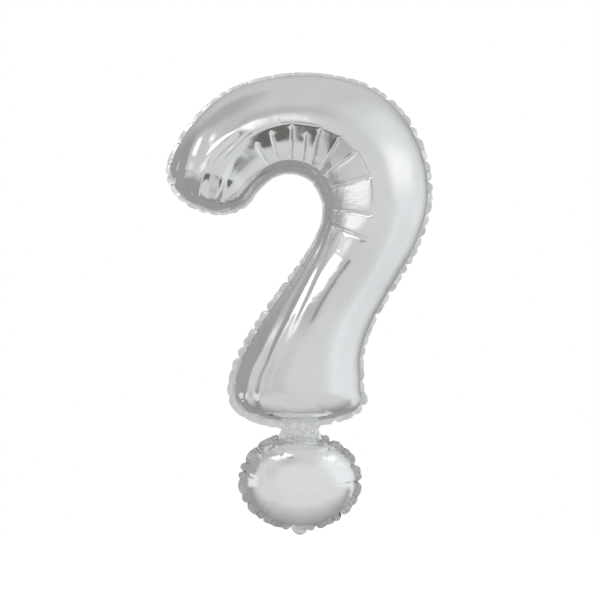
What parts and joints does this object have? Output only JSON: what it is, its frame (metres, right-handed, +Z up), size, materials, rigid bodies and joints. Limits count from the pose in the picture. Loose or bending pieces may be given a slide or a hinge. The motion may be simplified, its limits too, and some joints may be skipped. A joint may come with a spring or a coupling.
{
  "type": "foil question mark balloon",
  "caption": "Helium or air filled metallised film balloon in the shape of a question mark, with a hook, a neck, a dot and a filler tail.",
  "frame": {"origin": "middle of the balloon's own box, in the weld plane, inside the gas of the stem", "axes": "+Z up to the crown, the dot and the filler tail at -Z; the front, which reads as a question mark, faces -Y; +X to the reader's right"},
  "size_m": [0.4539, 0.166, 0.7803],
  "materials": {
    "foil": "mirror-bright metallised polyester film with fine pressure wrinkles",
    "weld": "heat-welded double film, slightly duller than the panels",
    "valve": "clear self-sealing valve film"
  },
  "bodies": {
    "hook": {"hook_front_foil": "foil", "hook_back_foil": "foil", "hook_weld_border": "weld", "neck_upper_foil": "foil"},
    "dot": {"neck_lower_foil": "foil", "dot_front_foil": "foil", "dot_back_foil": "foil", "dot_weld_border_left": "weld", "dot_weld_border_right": "weld", "filler_tail_front": "foil", "filler_tail_back": "foil", "filler_valve_film": "valve"}
  },
  "joints": [
    {"name": "neck_swing", "type": "hinge", "parent": "hook", "child": "dot", "pos_m": [0, 0, -0.214], "axis": [1, 0, 0], "range_deg": [-35, 35], "stiffness_Nm_per_rad": 0.02}
  ]
}
